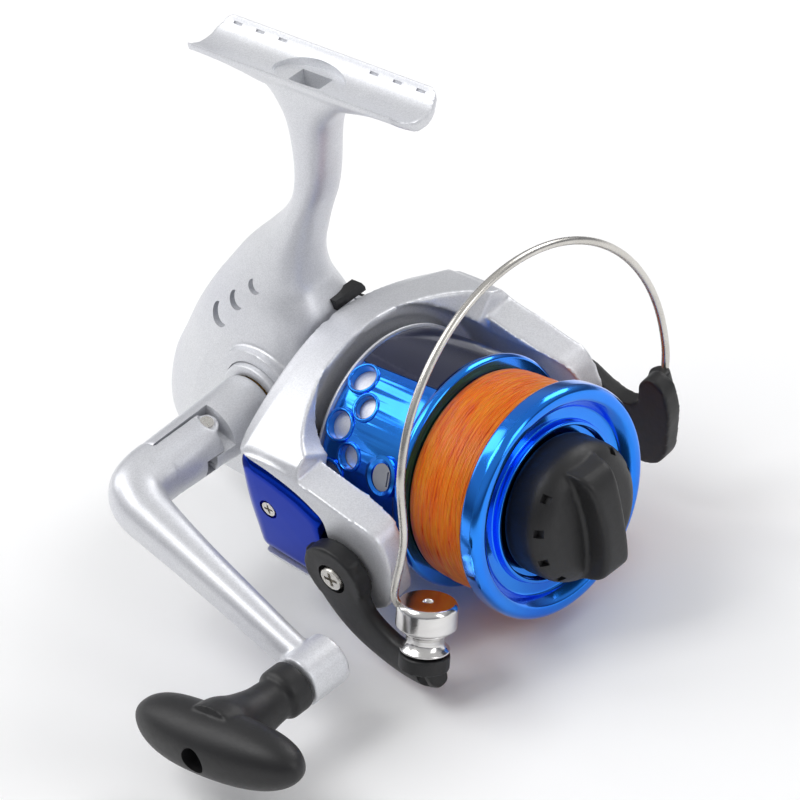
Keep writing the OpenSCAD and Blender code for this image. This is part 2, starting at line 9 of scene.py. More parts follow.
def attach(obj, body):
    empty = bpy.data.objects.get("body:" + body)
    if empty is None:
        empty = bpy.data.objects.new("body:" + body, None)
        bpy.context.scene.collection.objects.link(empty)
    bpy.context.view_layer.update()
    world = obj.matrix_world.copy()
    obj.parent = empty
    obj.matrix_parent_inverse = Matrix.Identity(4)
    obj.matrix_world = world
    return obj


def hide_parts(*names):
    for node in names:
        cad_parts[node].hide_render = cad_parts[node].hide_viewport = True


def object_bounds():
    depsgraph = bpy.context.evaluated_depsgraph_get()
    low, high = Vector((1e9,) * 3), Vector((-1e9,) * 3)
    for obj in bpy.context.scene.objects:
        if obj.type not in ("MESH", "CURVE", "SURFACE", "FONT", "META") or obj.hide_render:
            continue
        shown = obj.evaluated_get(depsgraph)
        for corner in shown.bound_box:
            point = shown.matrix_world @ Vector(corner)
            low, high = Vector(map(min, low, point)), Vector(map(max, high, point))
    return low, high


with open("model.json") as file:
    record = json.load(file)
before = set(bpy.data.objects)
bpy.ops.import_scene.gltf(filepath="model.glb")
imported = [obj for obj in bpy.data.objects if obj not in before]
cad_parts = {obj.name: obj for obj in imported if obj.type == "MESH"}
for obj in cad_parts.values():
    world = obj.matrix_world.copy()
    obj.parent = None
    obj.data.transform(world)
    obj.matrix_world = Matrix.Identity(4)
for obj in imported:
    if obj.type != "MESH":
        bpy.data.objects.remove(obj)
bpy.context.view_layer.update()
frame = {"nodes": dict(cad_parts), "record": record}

# The places and sizes of part.scad, in millimetres and degrees about the spool axis.
AXIS_DROP = 93.48999  # from the rod seat's centre line down to the spool axis
GEAR = (-20, 8)  # x and z of the crank's axis
CRANK = 57  # from the crank's axis to the knob's
PIVOT = (21, -3)  # x and z of the bail's pivots on the rotor
PIVOT_HOLE = 1.7
SCREW_SINK = 3.5
ROLLER = (43.5, -33, -3.2)
EDGE_Z = 89  # the foot's long edges
SEAT_RADIUS = 7.9
FOOT_HALF_LENGTH = 30.5
FOOT_HALF_WIDTH = 6.5
RIM_BACK = -6.1
RIM_FRONT = 3.1
RIM_HOLLOW = 25.2  # radius inside the rotor's rim
WEB = (0.6, 2.2)  # back and front of the rotor's web
ARM_HOLLOW = 27.8  # radius inside the arms, clear of the spool
ARM_FACE = 33.1  # how far out the arms' faces stand
ARBOR = 17  # radius of the spool under the line
LINE_SPAN = (30.3, 46.5)
HOLE_STEP = 25.7  # turn from one pair of skirt holes to the next
CLIP_X = 24.6

MM = Matrix.Scale(0.001, 4)
ON_AXIS = MM @ Matrix.Translation((0, 0, -AXIS_DROP))
ON_ROTOR = ON_AXIS @ Matrix.Rotation(math.radians(6), 4, "X")
ON_GEAR = ON_AXIS @ Matrix.Translation((GEAR[0], 0, GEAR[1]))
ON_HANDLE = ON_GEAR @ Matrix.Rotation(math.radians(21), 4, "Y")
ON_KNOB = (
    ON_HANDLE
    @ Matrix.Translation((CRANK, 0, 0))
    @ Matrix.Rotation(math.radians(-26), 4, "Y")
)
ON_ROLLER = (
    ON_ROTOR
    @ Matrix.Translation(ROLLER)
    @ Matrix.Rotation(math.radians(-23), 4, "X")
)
ON_CLIP = ON_AXIS @ Matrix.Rotation(math.radians(65), 4, "X")


# ---------------------------------------------------------------- materials
def new_material(name, metallic, rough, coat=0.0, coat_rough=0.1, spec=0.5):
    m = bpy.data.materials.new(name)
    m.use_nodes = True
    nt = m.node_tree
    bsdf = nt.nodes["Principled BSDF"]
    bsdf.inputs["Metallic"].default_value = metallic
    bsdf.inputs["Roughness"].default_value = rough
    bsdf.inputs["Coat Weight"].default_value = coat
    bsdf.inputs["Coat Roughness"].default_value = coat_rough
    bsdf.inputs["Specular IOR Level"].default_value = spec
    coord = nt.nodes.new("ShaderNodeTexCoord")
    return m, nt, bsdf, coord


def noise(nt, coord, scale, detail=4.0, rough=0.5):
    n = nt.nodes.new("ShaderNodeTexNoise")
    n.inputs["Scale"].default_value = scale
    n.inputs["Detail"].default_value = detail
    n.inputs["Roughness"].default_value = rough
    nt.links.new(coord, n.inputs["Vector"])
    return n.outputs["Fac"]


def ramp(nt, fac, stops):
    r = nt.nodes.new("ShaderNodeValToRGB")
    while len(r.color_ramp.elements) < len(stops):
        r.color_ramp.elements.new(0.5)
    for e, (place, colour) in zip(r.color_ramp.elements, stops):
        e.position = place
        e.color = (*colour, 1)
    nt.links.new(fac, r.inputs["Fac"])
    return r.outputs["Color"]


def spread(nt, fac, a, b):
    m = nt.nodes.new("ShaderNodeMapRange")
    m.inputs["To Min"].default_value = a
    m.inputs["To Max"].default_value = b
    nt.links.new(fac, m.inputs["Value"])
    return m.outputs["Result"]


def bump(nt, bsdf, height, strength, distance, normal=None):
    b = nt.nodes.new("ShaderNodeBump")
    b.inputs["Strength"].default_value = strength
    b.inputs["Distance"].default_value = distance
    nt.links.new(height, b.inputs["Height"])
    if normal is not None:
        nt.links.new(normal, b.inputs["Normal"])
    nt.links.new(b.outputs["Normal"], bsdf.inputs["Normal"])
    return b.outputs["Normal"]


def stretched(nt, coord, scale):
    m = nt.nodes.new("ShaderNodeMapping")
    m.inputs["Scale"].default_value = scale
    nt.links.new(coord, m.inputs["Vector"])
    return m.outputs["Vector"]


def multiplied(nt, one, other, amount=1):
    mix = nt.nodes.new("ShaderNodeMixRGB")
    mix.blend_type = "MULTIPLY"
    mix.inputs["Fac"].default_value = amount
    nt.links.new(one, mix.inputs["Color1"])
    nt.links.new(other, mix.inputs["Color2"])
    return mix.outputs["Color"]


def varied(name, dark, light, metallic, rough, grain, bumps, coat=0.0, stretch=(1, 1, 1)):
    """A surface whose colour, gloss and grain vary.

    rough is (low, high) and bumps is (scale, strength, distance).
    """
    m, nt, bsdf, c = new_material(name, metallic, rough[0], coat)
    at = stretched(nt, c.outputs["Object"], stretch)
    broad = noise(nt, at, grain, 5)
    nt.links.new(ramp(nt, broad, [(0.3, dark), (0.7, light)]), bsdf.inputs["Base Color"])
    fine = noise(nt, at, grain * 7, 3)
    nt.links.new(spread(nt, fine, *rough), bsdf.inputs["Roughness"])
    bump(nt, bsdf, noise(nt, at, bumps[0], 2), bumps[1], bumps[2])
    return m


def silver_paint():
    """Satin paint: metal flakes, a faint cloud of tone and a little peel."""
    m, nt, bsdf, c = new_material("silver_paint", 0.55, 0.4, 0.12, 0.2)
    at = c.outputs["Object"]
    flakes = nt.nodes.new("ShaderNodeTexVoronoi")
    flakes.inputs["Scale"].default_value = 5200
    nt.links.new(at, flakes.inputs["Vector"])
    tone = ramp(nt, flakes.outputs["Color"], [(0.0, (0.66, 0.67, 0.69)), (1.0, (0.82, 0.83, 0.85))])
    cloud = ramp(nt, noise(nt, at, 35, 4), [(0.3, (0.93, 0.93, 0.96)), (0.7, (1, 1, 1))])
    nt.links.new(multiplied(nt, tone, cloud), bsdf.inputs["Base Color"])
    nt.links.new(spread(nt, noise(nt, at, 260, 3), 0.36, 0.48), bsdf.inputs["Roughness"])
    bump(nt, bsdf, noise(nt, at, 420, 2), 0.12, 0.0001)
    return m


def line_material():
    """Wound nylon: fine turns round the spool, with painted shade in the grooves between turns, streaked with
    deeper orange.
    """
    m, nt, bsdf, c = new_material("orange_line", 0.0, 0.3, 0.08, 0.2, 0.35)
    bsdf.inputs["Subsurface Weight"].default_value = 0.12
    bsdf.inputs["Subsurface Radius"].default_value = (0.002, 0.0008, 0.0003)
    at = c.outputs["Object"]
    wave = nt.nodes.new("ShaderNodeTexWave")
    wave.bands_direction = "X"
    wave.inputs["Scale"].default_value = 900
    wave.inputs["Distortion"].default_value = 3.2
    wave.inputs["Detail"].default_value = 3
    wave.inputs["Detail Scale"].default_value = 0.6
    nt.links.new(stretched(nt, at, (1, 0.25, 0.25)), wave.inputs["Vector"])
    turn = wave.outputs["Fac"]
    streak = noise(nt, stretched(nt, at, (14, 1, 1)), 120, 5, 0.7)
    tone = ramp(nt, streak, [(0.3, (0.72, 0.05, 0.0)), (0.44, (1.0, 0.17, 0.0)), (0.7, (1.0, 0.38, 0.015))])
    # painted shade: the base colour is darkened along the low side of each turn, standing in for the shade in
    # the grooves between turns
    painted_groove_shade = ramp(nt, turn, [(0.0, (0.78, 0.68, 0.62)), (0.35, (1, 1, 1))])
    nt.links.new(multiplied(nt, tone, painted_groove_shade, 0.8), bsdf.inputs["Base Color"])
    nt.links.new(spread(nt, streak, 0.2, 0.42), bsdf.inputs["Roughness"])
    first = bump(nt, bsdf, turn, 0.7, 0.0003)
    bump(nt, bsdf, streak, 0.5, 0.0004, first)
    return m


def brushed(name, dark, light, rough, stretch):
    return varied(name, dark, light, 1.0, rough, 90, (1400, 0.12, 0.00008), stretch=stretch)


MAT = {
    "silver_paint": silver_paint(),
    "orange_line": line_material(),
    "blue_metal": varied(
        "blue_metal", (0.0, 0.19, 0.92), (0.01, 0.28, 1.0), 1.0, (0.10, 0.17), 60,
        (900, 0.05, 0.00005), coat=0.6,
    ),
    "blue_gloss": varied(
        "blue_gloss", (0.0, 0.022, 0.34), (0.0, 0.035, 0.44), 1.0, (0.14, 0.22), 50,
        (700, 0.05, 0.00005), coat=0.05,
    ),
    "dark_band": varied(
        "dark_band", (0.004, 0.006, 0.03), (0.01, 0.014, 0.05), 0.3, (0.12, 0.2), 70,
        (900, 0.06, 0.00005), coat=0.5,
    ),
    "black_plastic": varied(
        "black_plastic", (0.0048, 0.0048, 0.0054), (0.0096, 0.0096, 0.0108), 0.0, (0.4, 0.55), 120,
        (2600, 0.22, 0.00012),
    ),
    "steel": varied(
        "steel", (0.56, 0.54, 0.50), (0.72, 0.70, 0.66), 1.0, (0.22, 0.32), 90,
        (900, 0.04, 0.00004),
    ),
    "polished_steel": brushed(
        "polished_steel", (0.66, 0.65, 0.64), (0.82, 0.81, 0.8), (0.14, 0.26), (1, 1, 4)
    ),
    "brass": brushed("brass", (0.62, 0.42, 0.16), (0.82, 0.6, 0.26), (0.2, 0.34), (4, 1, 1)),
    "zinc": brushed("zinc", (0.42, 0.42, 0.44), (0.6, 0.6, 0.62), (0.3, 0.46), (1, 1, 1)),
    "white_nylon": varied(
        "white_nylon", (0.74, 0.73, 0.69), (0.86, 0.86, 0.82), 0.0, (0.38, 0.5), 80,
        (1500, 0.1, 0.0001),
    ),
    "grey_plastic": varied(
        "grey_plastic", (0.20, 0.21, 0.24), (0.32, 0.33, 0.36), 0.0, (0.3, 0.42), 120,
        (1800, 0.12, 0.0001), coat=0.2,
    ),
    "felt": varied(
        "felt", (0.34, 0.28, 0.2), (0.56, 0.48, 0.36), 0.0, (0.8, 0.95), 300, (2400, 0.6, 0.0003)
    ),
}


# ---------------------------------------------------------------- mesh helpers
def turns(n):
    """n angles evenly round a circle."""
    return [2 * math.pi * k / n for k in range(n)]


def bent(value, power):
    """A sine or cosine raised to a power, its sign kept: below 1 a round section turns squarer."""
    return math.copysign(abs(value) ** power, value)


def mesh_object(name, verts, faces, place=ON_AXIS):
    me = bpy.data.meshes.new(name)
    me.from_pydata([place @ Vector(v) for v in verts], [], faces)
    me.validate()
    bm = bmesh.new()
    bm.from_mesh(me)
    bmesh.ops.remove_doubles(bm, verts=bm.verts, dist=1e-7)
    bmesh.ops.recalc_face_normals(bm, faces=bm.faces)
    bm.to_mesh(me)
    bm.free()
    o = bpy.data.objects.new(name, me)
    bpy.context.scene.collection.objects.link(o)
    return o


def baked(o):
    """Applies every modifier of o to its mesh."""
    graph = bpy.context.evaluated_depsgraph_get()
    me = bpy.data.meshes.new_from_object(o.evaluated_get(graph))
    o.modifiers.clear()
    o.data = me
    return o


def shade(o, angle=35):
    for p in o.data.polygons:
        p.use_smooth = True
    o.data.set_sharp_from_angle(angle=math.radians(angle))


def finish_piece(o, body, slot_name, nodes=(), angle=35):
    shade(o, angle)
    o.data.materials.clear()
    o.data.materials.append(MAT[slot_name])
    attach(o, body)
    if nodes:
        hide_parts(*nodes)
    return o


def boolean(o, other):
    """Cuts other out of o."""
    m = o.modifiers.new("cut", "BOOLEAN")
    m.operation = "DIFFERENCE"
    m.object = other
    m.solver = "EXACT"
    baked(o)
    bpy.data.objects.remove(other)
    return o


def edge_bevel(o, width, segments, angle):
    b = o.modifiers.new("edges", "BEVEL")
    b.width = width
    b.segments = segments
    b.limit_method = "ANGLE"
    b.angle_limit = math.radians(angle)


def joined(objs, name):
    """One object out of several closed ones."""
    bm = bmesh.new()
    for o in objs:
        bm.from_mesh(o.data)
    me = bpy.data.meshes.new(name)
    bm.to_mesh(me)
    bm.free()
    for o in objs:
        bpy.data.objects.remove(o)
    o = bpy.data.objects.new(name, me)
    bpy.context.scene.collection.objects.link(o)
    return o


def melted(objs, name, voxel, rounds):
    """Closed solids run together into one skin with soft fillets. voxel is in millimetres."""
    o = joined(objs, name)
    skin = o.modifiers.new("skin", "REMESH")
    skin.mode = "VOXEL"
    skin.voxel_size = voxel / 1000 * 1
    soft = o.modifiers.new("soft", "SMOOTH")
    soft.iterations = rounds
    soft.factor = 0.5
    return baked(o)


def bevelled(o, width, angle=40, segments=3):
    edge_bevel(o, width, segments, angle)
    return baked(o)


def rounded(points, radius, closed=False, steps=5):
    """A polyline whose corners are arcs of up to that radius."""
    out = []
    n = len(points)
    for i, p in enumerate(points):
        r = radius[i] if isinstance(radius, (list, tuple)) else radius
        if (not closed and i in (0, n - 1)) or r == 0:
            out.append(tuple(p))
            continue
        p = Vector(p)
        a = Vector(points[i - 1]) - p
        b = Vector(points[(i + 1) % n]) - p
        cut = min(r, a.length * 0.48, b.length * 0.48)
        s, e = p + a.normalized() * cut, p + b.normalized() * cut
        for k in range(steps + 1):
            t = k / steps
            out.append(tuple((1 - t) ** 2 * s + 2 * t * (1 - t) * p + t * t * e))
    return out


def turned(name, profile, place=ON_AXIS, n=144, along="X"):
    """A closed profile of (place along the axis, radius) turned about the axis."""
    verts, faces = [], []
    m = len(profile)
    for a in turns(n):
        for t, r in profile:
            c, s = r * math.cos(a), r * math.sin(a)
            verts.append({"X": (t, c, s), "Y": (c, t, s), "Z": (c, s, t)}[along])
    for i in range(n):
        for k in range(m):
            here, ahead = i * m, (i + 1) % n * m
            faces.append((here + k, here + (k + 1) % m, ahead + (k + 1) % m, ahead + k))
    return mesh_object(name, verts, faces, place)


def lofted(name, rings, place=ON_AXIS):
    """Rings of the same count of points, joined in turn and closed at both ends."""
    verts = [p for ring in rings for p in ring]
    n = len(rings[0])
    faces = [
        (i * n + k, i * n + (k + 1) % n, (i + 1) * n + (k + 1) % n, (i + 1) * n + k)
        for i in range(len(rings) - 1)
        for k in range(n)
    ]
    faces += [tuple(range(n)), tuple(range((len(rings) - 1) * n, len(rings) * n))]
    return mesh_object(name, verts, faces, place)


def prism(name, outline, y0, y1, place=ON_AXIS):
    """An XZ outline extruded along Y."""
    return lofted(name, [[(x, y, z) for x, z in outline] for y in (y0, y1)], place)


def block(name, lo, hi, place=ON_AXIS):
    ring = [(lo[0], lo[1]), (hi[0], lo[1]), (hi[0], hi[1]), (lo[0], hi[1])]
    return lofted(name, [[(x, y, z) for x, y in ring] for z in (lo[2], hi[2])], place)


def rod(name, a, b, r, place=ON_AXIS, n=48, r2=None):
    """A round bar from a to b, tapered from radius r to r2 where r2 is given."""
    a, b = Vector(a), Vector(b)
    q = Vector((0, 0, 1)).rotation_difference((b - a).normalized())
    rings = []
    for p, size in ((a, r), (b, r if r2 is None else r2)):
        rings.append([tuple(p + q @ Vector((size * math.cos(t), size * math.sin(t), 0))) for t in turns(n)])
    return lofted(name, rings, place)


def at_gear(name, y0, y1, r):
    """A rod along the crank's axis."""
    return rod(name, (GEAR[0], y0, GEAR[1]), (GEAR[0], y1, GEAR[1]), r, n=96)


def at_pivot(name, y0, y1, r, n=48):
    """A rod along the bail's pivot axis."""
    return rod(name, (PIVOT[0], y0, PIVOT[1]), (PIVOT[0], y1, PIVOT[1]), r, ON_ROTOR, n)


def ball(name, at, r, place=ON_AXIS, n=24):
    rings = []
    for i in range(1, n):
        t = math.pi * i / n
        z, level = at[2] + r * math.cos(t), r * math.sin(t)
        rings.append([(at[0] + level * math.cos(u), at[1] + level * math.sin(u), z) for u in turns(2 * n)])
    return lofted(name, rings, place)


def spline(points, count):
    """count points on a smooth curve through the given ones, of any dimension."""
    pts = [Vector(p) for p in points]
    out = []
    for i in range(count):
        s = i / (count - 1) * (len(pts) - 1)
        k = min(int(s), len(pts) - 2)
        t = s - k
        p0, p1, p2, p3 = pts[max(k - 1, 0)], pts[k], pts[k + 1], pts[min(k + 2, len(pts) - 1)]
        out.append(
            0.5
            * (
                2 * p1
                + (p2 - p0) * t
                + (2 * p0 - 5 * p1 + 4 * p2 - p3) * t * t
                + (3 * p1 - p0 - 3 * p2 + p3) * t**3
            )
        )
    return out


def swept(name, path, sizes, place=ON_AXIS, up=(0, 0, 1), n=40, power=2.0):
    """A tube along path whose half width (across up) and half height (along up) are sizes."""
    rings = []
    for i, p in enumerate(path):
        d = (path[min(i + 1, len(path) - 1)] - path[max(i - 1, 0)]).normalized()
        side = d.cross(Vector(up)).normalized()
        top = side.cross(d).normalized()
        w, h = sizes[i]
        ring = []
        for a in turns(n):
            across = side * w * bent(math.cos(a), 2 / power)
            ring.append(tuple(p + across + top * h * bent(math.sin(a), 2 / power)))
        rings.append(ring)
    return lofted(name, rings, place)


# ---------------------------------------------------------------- gear case, stem and foot
# Height above the spool axis: rear x, front x, half width and squareness of the section.
CASE = [
    (-21.4, -46, -13, 5.5, 2.6), (-20.6, -50, -9.5, 8.4, 3.0), (-18, -56.2, -7.6, 10.6, 3.4),
    (-13, -59.2, -7.2, 12.1, 3.8), (-6, -58.6, -7.2, 12.5, 4.2), (4, -54.6, -7.2, 12.5, 4.4),
    (12, -49.4, -7.2, 12.3, 4.2), (20, -44.2, -7.2, 11.5, 3.8), (27, -38.8, -7.6, 10.2, 3.2),
    (33, -33.4, -10.0, 8.6, 2.8), (39.5, -27.2, -9.4, 7.2, 2.6), (46, -19.6, -6.8, 6.2, 2.5),
    (51.5, -13.6, -4.4, 5.7, 2.6), (57, -9.6, -1.6, 5.4, 2.7), (63, -7.9, 0.7, 5.1, 2.8),
    (70, -7.4, 2.6, 5.1, 2.8), (76, -7.9, 4.6, 5.3, 2.8), (80, -10, 8, 5.6, 2.8),
    (83, -13, 12, 5.8, 2.8), (85, -16.5, 16, 5.8, 2.8),
]


def case_body():
    """Level sections up the case and stem, whose rear edge is a rounded keel narrower than the front."""
    rings = []
    for z, back, front, half, power in spline(CASE, 110):
        mid, reach = (back + front) / 2, (front - back) / 2
        ring = []
        for a in turns(96):
            x = mid + reach * bent(math.cos(a), 2 / power)
            y = half * bent(math.sin(a), 2 / power)
            lean = max(0.0, (mid - x) / max(reach, 1)) ** 2
            ring.append((x, y * (1 - 0.38 * lean), z))
        rings.append(ring)
    return lofted("case_body", rings)


def foot_plate():
    """The foot: hollow above to the seat's radius, with rounded ends and a belly under its middle."""
    corner, steps = 3.2, 24
    top = EDGE_Z + math.sqrt(SEAT_RADIUS**2 - FOOT_HALF_WIDTH**2)
    rings = []
    for i in range(61):
        x = -FOOT_HALF_LENGTH + i * 2 * FOOT_HALF_LENGTH / 60
        end = FOOT_HALF_LENGTH - abs(x)
        w = FOOT_HALF_WIDTH
        if end < corner:
            w -= corner - math.sqrt(max(0, corner**2 - (corner - end) ** 2))
        belly = 1.8 + 4.0 * min(1, max(0, end / 19)) ** 1.3
        edge = top - math.sqrt(SEAT_RADIUS**2 - w**2)
        ring = []
        for k in range(steps + 1):
            y = -w + 2 * w * k / steps
            ring.append((x, y, top - math.sqrt(SEAT_RADIUS**2 - y**2)))
        for k in range(steps + 1):
            c = math.cos(math.pi * k / steps)
            ring.append((x, w * c, edge - 1.9 - belly * (1 - abs(c) ** 2.2)))
        rings.append(ring)
    return lofted("foot_plate", rings)


def housing():
    parts = [
        case_body(),
        foot_plate(),
        rod("nose", (-11, 0, 0), (-3.7, 0, 0), 12.3),
        at_gear("boss", -13.6, -9, 11.8),
        rod("pawl_pin", (-8, 9, -13.8), (0, 9, -13.8), 1.3),
    ]
    o = melted(parts, "body_shell", 0.42, 5)
    boolean(o, rod("bore", (-9, 0, 0), (2, 0, 0), 7.7, n=96))
    boolean(o, block("foot_hole", (-5, -2.4, EDGE_Z - 9), (3.4, 2.4, EDGE_Z + 4)))
    boolean(o, at_gear("boss_sink", -20, -12.6, 9.1))
    # the oval step round the hole in the foot
    oval = [(9.5 * math.cos(a) - 0.8, 4.3 * math.sin(a)) for a in turns(48)]
    boolean(o, lofted("step", [[(x, y, z) for x, y in oval] for z in (EDGE_Z - 4.3, EDGE_Z + 4)]))
    # the flat panel sunk into the side that the crank is on, all round the boss
    panel = rounded(
        [(-55.6, -13), (-51.5, 1.5), (-43.5, 13.5), (-35.5, 22.5), (-9.8, 9), (-9.8, -16.5), (-50, -17.5)],
        5, closed=True,
    )
    boolean(o, boolean(prism("panel", panel, -14, -11.5), at_gear("keep", -15, -9, 11.4)))
    # three crescents up the side of the stem's root
    for x, z, r in ((-20.2, 33.2, 1.7), (-25.6, 28.6, 2.1), (-31.2, 23.4, 2.6)):
        moon = rod("moon", (x, -14, z), (x, -7.3, z), r)
        bite = rod("bite", (x + r * 0.75, -15, z + r * 0.5), (x + r * 0.75, -6, z + r * 0.5), r)
        boolean(o, boolean(moon, bite))
    # the dashes along the foot's long edges, none of them beside the hole
    marks = []
    for side in (-1, 1):
        for i in (-4, -3, -2, 2, 3, 4):
            x, y = i * 6.4, side * 5.2
            marks.append(block("dash", (x - 1.2, y - 0.25, EDGE_Z - 1.72), (x + 1.2, y + 0.25, EDGE_Z)))
    boolean(o, joined(marks, "marks"))
    finish_piece(o, "body", "silver_paint", ["body_housing"], 38)
    boss = turned(
        "handle_boss",
        rounded([(-13.2, 6.1), (-14.9, 6.3), (-14.9, 8.7), (-12.2, 9.0), (-12.2, 6.1)], 0.5, closed=True),
        ON_GEAR, along="Y",
    )
    finish_piece(boss, "body", "silver_paint")


# ---------------------------------------------------------------- rotor
def wall_faces(rows, steps):
    """The faces of a wall whose rows are each an inner arc, then an outer one, of steps + 1 points."""
    arc = steps + 1
    faces = []
    for i in range(rows - 1):
        a, b = i * 2 * arc, (i + 1) * 2 * arc
        for k in range(steps):
            faces.append((a + k, a + k + 1, b + k + 1, b + k))
            faces.append((a + arc + k, b + arc + k, b + arc + k + 1, a + arc + k + 1))
        faces.append((a, b, b + arc, a + arc))
        faces.append((a + steps, a + arc + steps, b + arc + steps, b + steps))
    for a in (0, (rows - 1) * 2 * arc):
        for k in range(steps):
            faces.append((a + k, a + arc + k, a + arc + k + 1, a + k + 1))
    return faces


def shoulder_radius(angle, row, wall, hollow):
    """The shoulder's outer radius: the rim's own, swelling towards the arm until it meets the arm's face."""
    above = angle > 0
    lift = max(0, (88 - abs(angle)) / (52 if above else 70))
    swell = (0.75 + 0.25 * min(1, row / 7)) * 7 * lift ** (2.6 if above else 5)
    face = wall / max(0.02, math.cos(math.radians(angle)))
    return max(min(27.2 + swell, face, 36.5), hollow + 0.4)


def rotor_shoulder(side):
    """The part of the rim that grows out into one arm, as slices half a millimetre apart."""
    rows, steps = 38, 120
    verts = []
    for i in range(rows):
        x = RIM_BACK + i / 2
        on_rim = x < RIM_FRONT
        # behind x = -1.5 the arm's face rounds in on an ellipse
        wall = ARM_FACE if x > -1.5 else 28.2 + 4.9 * math.sqrt(1 - ((-1.5 - x) / 4.61) ** 2)
        hollow = RIM_HOLLOW if on_rim else ARM_HOLLOW
        # ahead of the rim the shoulder draws in towards the arm
        reach = 90 if on_rim else 30 + 40 * math.exp((RIM_FRONT - x) / 4)
        first = -88 if on_rim else 14 - reach
        last = min(reach, 88)
        angles = [first + (last - first) * k / steps for k in range(steps + 1)]
        for inner in (True, False):
            for a in angles:
                r = hollow if inner else shoulder_radius(a, i, wall, hollow)
                t = math.radians(a)
                verts.append((x, side * r * math.cos(t), r * math.sin(t)))
    return mesh_object("shoulder", verts, wall_faces(rows, steps), ON_ROTOR)


def rotor_piece():
    cup = turned(
        "rotor_cup",
        rounded(
            [(RIM_BACK, 25.0), (RIM_BACK, 26.7), (-4.6, 27.3), (2.6, 27.2), (RIM_FRONT, 26.4), (2.6, 25.4),
             (WEB[1], 24.4), (WEB[1], 3.7), (WEB[0], 3.7), (WEB[0], 23.2), (-0.8, 24.0)],
            0.4, closed=True,
        ),
        ON_ROTOR, n=192,
    )
    arm = rounded(
        [(-4.6, -10.6), (-4.6, 17.0), (6, 17.6), (18, 13.7), (32.5, 9), (34.3, 3), (33.8, -4),
         (29.5, -12.4), (17.5, -14.4)],
        [2, 4, 12, 14, 5, 5, 5, 5, 5], closed=True, steps=8,
    )
    parts = [cup]
    for side in (-1, 1):
        parts.append(rotor_shoulder(side))
        plate = prism("arm", arm, side * ARM_FACE, side * 25.4, ON_ROTOR)
        boolean(plate, rod("room", (RIM_FRONT, 0, 0), (60, 0, 0), ARM_HOLLOW, ON_ROTOR, 160))
        boolean(plate, rod("room", (-20, 0, 0), (RIM_FRONT + 0.1, 0, 0), RIM_HOLLOW, ON_ROTOR, 160))
        parts.append(plate)
    o = melted(parts, "rotor_frame", 0.42, 6)
    # the sunk beds of the covers, the pivots' holes and four round holes through the web
    recess = rounded(
        [(-9, -8.6), (-9, 15.9), (-2.2, 17.1), (4, 15.6), (12, 12.2), (17.5, 7.6), (17.5, -13.4)],
        [0.5, 0.5, 1.5, 5, 5, 2.0, 1.5], closed=True, steps=6,
    )
    for side in (-1, 1):
        boolean(o, prism("recess", recess, side * 31.45, side * 36, ON_ROTOR))
        boolean(o, at_pivot("hole", side * 38, side * 24, PIVOT_HOLE))
    for turn in (60, 120, 240, 300):
        y, z = 16 * math.cos(math.radians(turn)), 16 * math.sin(math.radians(turn))
        boolean(o, rod("hole", (-4, y, z), (6, y, z), 3.2, ON_ROTOR))
    finish_piece(o, "rotor", "silver_paint", ["rotor"], 40)


def arm_cover(name, node, side):
    """The coloured cover let into the root of a rotor arm, its face a shallow bow with a bright edge."""
    outline = rounded(
        [(-5.6, -8.8), (-6.4, 4), (-4.4, 15.6), (-2.4, 16.7), (4, 15.2), (11.8, 11.9), (17.2, 7.4),
         (17.2, -12.9)],
        [1.6, 9, 1.0, 1.5, 5, 5, 2.0, 1.5], closed=True, steps=6,
    )
    mid = Vector((5, 0))
    # how far out each ring stands, and how far in from the outline it lies
    bow = ((31.5, 0.1), (31.8, 0.15), (32.3, 0.6), (32.8, 1.35), (33.2, 2.3), (33.4, 3.2), (33.45, 4.2))
    rings = []
    for y, inset in bow:
        ring = []
        for point in outline:
            arm = Vector(point) - mid
            x, z = mid + arm * (1 - inset / arm.length)
            ring.append((x, side * y, z))
        rings.append(ring)
    o = lofted(name, rings, ON_ROTOR)
    boolean(o, rod("screw_hole", (1, side * 38, 4), (1, side * 32.7, 4), 2.3, ON_ROTOR))
    finish_piece(o, "rotor", "blue_gloss", [node], 30)


# ---------------------------------------------------------------- bail
def bail_arm_piece():
    path = spline(
        [(21, -35.9, 2), (21.3, -36, -6), (25, -36.2, -13.5), (33, -36.8, -17.8), (41, -37.6, -18.2),
         (46.5, -38.2, -16.8)],
        40,
    )
    # half the plate's depth, then half its thickness
    sizes = spline([(7.0, 2.0), (7.2, 2.0), (5.6, 2.0), (4.4, 2.1), (4.2, 2.3), (3.6, 2.2)], 40)
    parts = [
        swept("plate", path, sizes, ON_ROTOR, up=(0, 1, 0), power=3.0),
        at_pivot("eye", -37.8, -33.85, 7.6, 72),
        rod("roller_seat", (0, 0, -14.6), (0, 0, -11.3), 5.2, ON_ROLLER, 60),
    ]
    o = melted(parts, "bail_arm_body", 0.34, 6)
    boolean(o, at_pivot("sink", -42, -36.5, SCREW_SINK))
    boolean(o, at_pivot("hole", -42, -30, PIVOT_HOLE))
    boolean(o, rod("pin_hole", (0, 0, -20), (0, 0, -5), 1.6, ON_ROLLER))
    boolean(o, rod("room", (0, 0, -11.15), (0, 0, 10), 7.0, ON_ROLLER, 72))
    finish_piece(o, "bail", "black_plastic", ["bail_arm"], 40)


